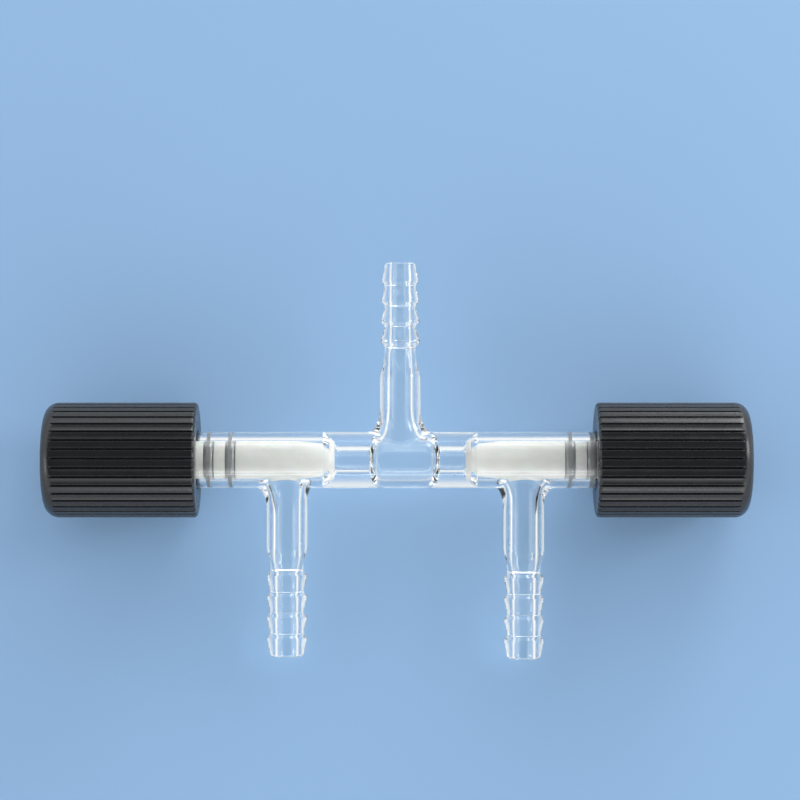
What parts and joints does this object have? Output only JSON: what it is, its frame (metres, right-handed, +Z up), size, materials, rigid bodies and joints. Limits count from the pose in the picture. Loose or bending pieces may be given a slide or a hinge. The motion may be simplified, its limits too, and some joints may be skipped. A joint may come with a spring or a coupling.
{
  "type": "glass stopcock",
  "caption": "Blown glass stopcock with serrated hose arms on one barrel, opened and shut by screw-driven plugs under ribbed knobs.",
  "frame": {"origin": "middle of the part's footprint, on the surface that it lies on", "axes": "+X along the barrel towards the right knob, +Y over the bench on the upper arm's side, +Z up; the plane of the arms is tipped 12.0 degrees about X"},
  "size_m": [0.1756, 0.098, 0.0287],
  "materials": {
    "glass": "clear, fire-polished borosilicate glass",
    "ptfe": "white turned plastic with a waxy sheen",
    "o_ring_rubber": "dark grey greased rubber",
    "black_plastic": "semi-gloss black moulded plastic",
    "cap_plastic": "satin black moulded plastic",
    "steel": "bright spring steel"
  },
  "bodies": {
    "glass": {"glass_body": "glass"},
    "left_stem": {"left_plug": "ptfe", "left_inner_o_ring": "o_ring_rubber", "left_outer_o_ring": "o_ring_rubber", "left_thrust_washer": "steel", "left_retaining_ring": "steel"},
    "left_handle": {"left_knob": "black_plastic", "left_end_cap": "cap_plastic"},
    "right_stem": {"right_plug": "ptfe", "right_inner_o_ring": "o_ring_rubber", "right_outer_o_ring": "o_ring_rubber", "right_thrust_washer": "steel", "right_retaining_ring": "steel"},
    "right_handle": {"right_knob": "black_plastic", "right_end_cap": "cap_plastic"}
  },
  "joints": [
    {"name": "left_plug_travel", "type": "slide", "parent": "glass", "child": "left_stem", "axis": [-1, 0, 0], "range_m": [0, 0.00502]},
    {"name": "left_knob_turn", "type": "hinge", "parent": "left_stem", "child": "left_handle", "pos_m": [-0.05915, 0.00022, 0.01435], "axis": [-1, 0, 0], "range_deg": [0, 720]},
    {"name": "right_plug_travel", "type": "slide", "parent": "glass", "child": "right_stem", "axis": [1, 0, 0], "range_m": [0, 0.00502]},
    {"name": "right_knob_turn", "type": "hinge", "parent": "right_stem", "child": "right_handle", "pos_m": [0.06085, 0.00022, 0.01435], "axis": [1, 0, 0], "range_deg": [0, 720]}
  ],
  "couplings": [
    {"joint": "left_plug_travel", "follows": "left_knob_turn", "m_per_rad": 0.00039789},
    {"joint": "right_plug_travel", "follows": "right_knob_turn", "m_per_rad": 0.00039789}
  ]
}
